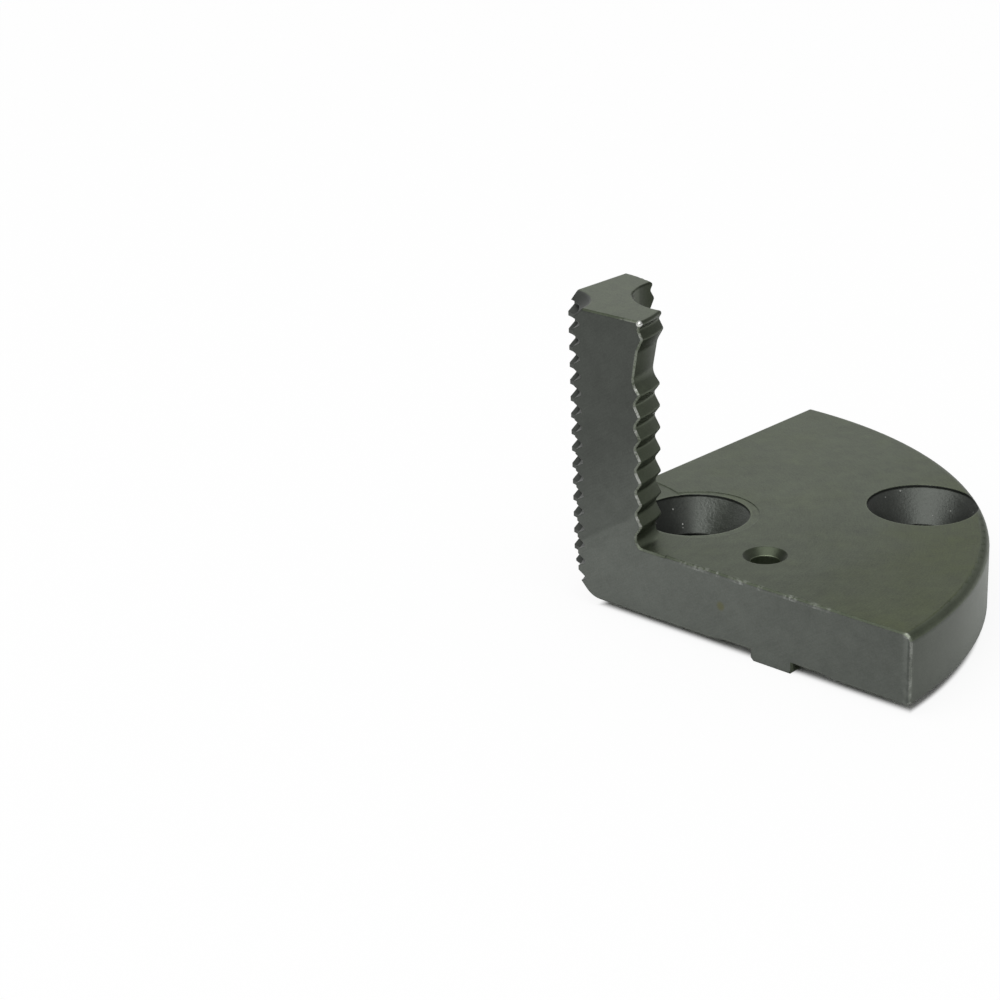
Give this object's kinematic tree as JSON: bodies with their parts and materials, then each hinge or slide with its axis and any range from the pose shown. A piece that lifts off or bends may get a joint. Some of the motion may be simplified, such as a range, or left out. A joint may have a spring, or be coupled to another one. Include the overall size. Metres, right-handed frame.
{
  "type": "spigot chuck jaw",
  "caption": "Quarter-ring chuck jaw with a tall nose, toothed and dovetailed outside, screw-cut inside, on a flat flange with countersunk fixing holes and a tongue below.",
  "frame": {"origin": "on the chuck's axis, at the level of the mounting face under the flange", "axes": "+Z along the chuck's axis towards the top of the nose; +X outward along the middle of the jaw, parallel to the line through both fixing holes; +Y across the jaw, away from the small hole's side"},
  "size_m": [0.0588, 0.0878, 0.0446],
  "materials": {
    "blackened_steel": "dark grey-green phosphated steel, satin"
  },
  "bodies": {
    "root": {"spigot_jaw": "blackened_steel"}
  },
  "joints": []
}
